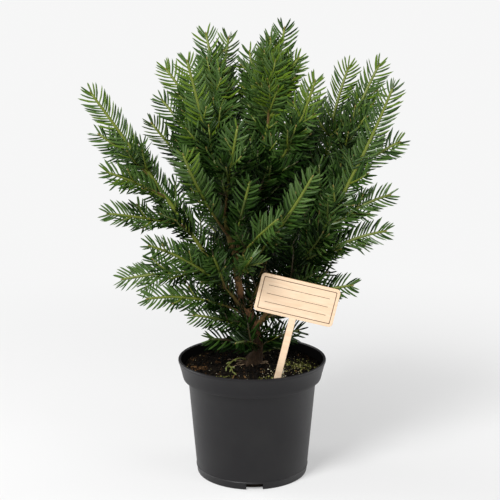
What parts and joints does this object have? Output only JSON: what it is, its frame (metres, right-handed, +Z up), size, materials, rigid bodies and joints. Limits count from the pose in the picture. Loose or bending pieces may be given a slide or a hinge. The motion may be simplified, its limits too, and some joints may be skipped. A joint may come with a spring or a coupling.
{
  "type": "english yew in a nursery pot",
  "caption": "Young bushy conifer with a short leaning trunk and upswept needled boughs, in a round tapered plastic nursery pot with soil and a blank wooden plant label.",
  "frame": {"origin": "centre of the flat underside of the pot", "axes": "+Z up, the plant's height; +X to the right and -Y to the front, the side the label faces"},
  "size_m": [0.414, 0.2927, 0.5783],
  "materials": {
    "pot_plastic": "dark grey moulded plastic, satin",
    "soil": "dark moist compost with pale grains and moss",
    "label_wood": "pale bare plywood with a burned border",
    "bark": "reddish-brown flaking bark",
    "needles": "dark green needles, lighter at the young tips"
  },
  "bodies": {
    "root": {"back_foot_bough": "bark", "back_foot_foliage": "needles", "back_high_bough": "bark", "back_high_foliage": "needles", "back_left_leader_bough": "bark", "back_left_leader_foliage": "needles", "back_low_left_bough": "bark", "back_low_left_foliage": "needles", "back_low_right_bough": "bark", "back_low_right_foliage": "needles", "back_right_leader_bough": "bark", "back_right_leader_foliage": "needles", "base_back_foliage": "needles", "base_front_foliage": "needles", "base_left_foliage": "needles", "base_right_foliage": "needles", "centre_leader_bough": "bark", "centre_leader_foliage": "needles", "front_left_bough": "bark", "front_left_foliage": "needles", "front_low_bough": "bark", "front_low_foliage": "needles", "front_mid_bough": "bark", "front_mid_foliage": "needles", "front_mid_left_bough": "bark", "front_mid_left_foliage": "needles", "front_right_bough": "bark", "front_right_foliage": "needles", "inner_front_bough": "bark", "inner_front_foliage": "needles", "inner_left_bough": "bark", "inner_left_foliage": "needles", "left_foot_bough": "bark", "left_foot_foliage": "needles", "left_leader_bough": "bark", "left_leader_foliage": "needles", "left_under_bough": "bark", "left_under_foliage": "needles", "mid_left_bough": "bark", "mid_left_foliage": "needles", "plant_label": "label_wood", "pot": "pot_plastic", "right_foot_bough": "bark", "right_foot_foliage": "needles", "right_leader_bough": "bark", "right_leader_foliage": "needles", "right_low_bough": "bark", "right_low_foliage": "needles", "soil": "soil", "trunk": "bark", "trunk_foliage": "needles", "upper_left_bough": "bark", "upper_left_foliage": "needles"}
  },
  "joints": []
}
